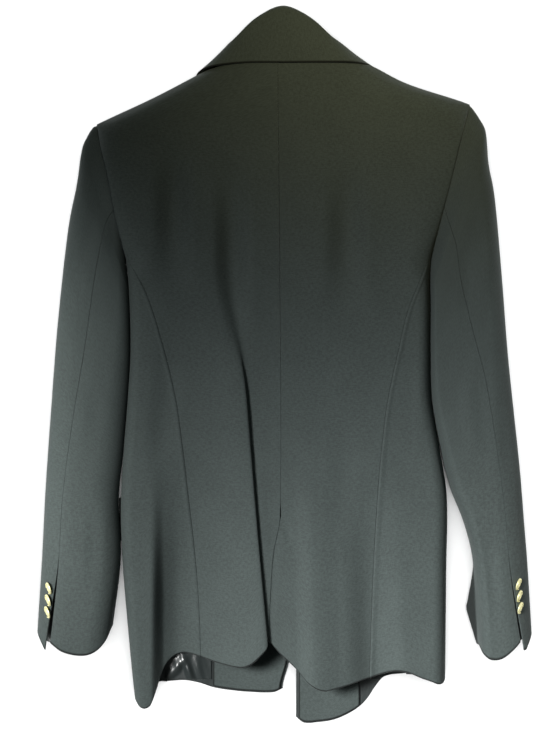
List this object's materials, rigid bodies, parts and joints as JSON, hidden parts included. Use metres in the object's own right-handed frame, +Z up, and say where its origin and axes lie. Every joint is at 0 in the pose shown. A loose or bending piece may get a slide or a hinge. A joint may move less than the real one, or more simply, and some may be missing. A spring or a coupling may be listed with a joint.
{
  "type": "women's single-breasted blazer",
  "caption": "Fitted long-sleeved blazer laid back up, with a turned collar, centre back seam and vent, shaped side panels, buttoned cuffs and open fronts.",
  "frame": {"origin": "on the surface the blazer lies on, under the centre of its bounding box", "axes": "+Z up out of the surface, through the back; +Y towards the collar; +X towards the wearer's right sleeve"},
  "size_m": [0.55, 0.7975, 0.047],
  "materials": {
    "wool": "fine dark green-grey wool twill, matt",
    "satin": "dark grey-green satin lining, glossy",
    "brass": "bright moulded brass-coloured button"
  },
  "bodies": {
    "root": {"back_left": "wool", "back_right": "wool", "side_left": "wool", "side_right": "wool", "front_left": "wool", "front_right": "wool", "lapel_left": "wool", "lapel_right": "wool", "facing_left": "wool", "facing_right": "wool", "pocket_flap_left": "wool", "pocket_flap_right": "wool", "collar": "wool", "top_sleeve_left": "wool", "top_sleeve_right": "wool", "under_sleeve_left": "wool", "under_sleeve_right": "wool", "lining_left": "satin", "lining_right": "satin", "front_button": "brass", "cuff_button_left_1": "brass", "cuff_button_left_2": "brass", "cuff_button_left_3": "brass", "cuff_button_right_1": "brass", "cuff_button_right_2": "brass", "cuff_button_right_3": "brass"}
  },
  "joints": []
}
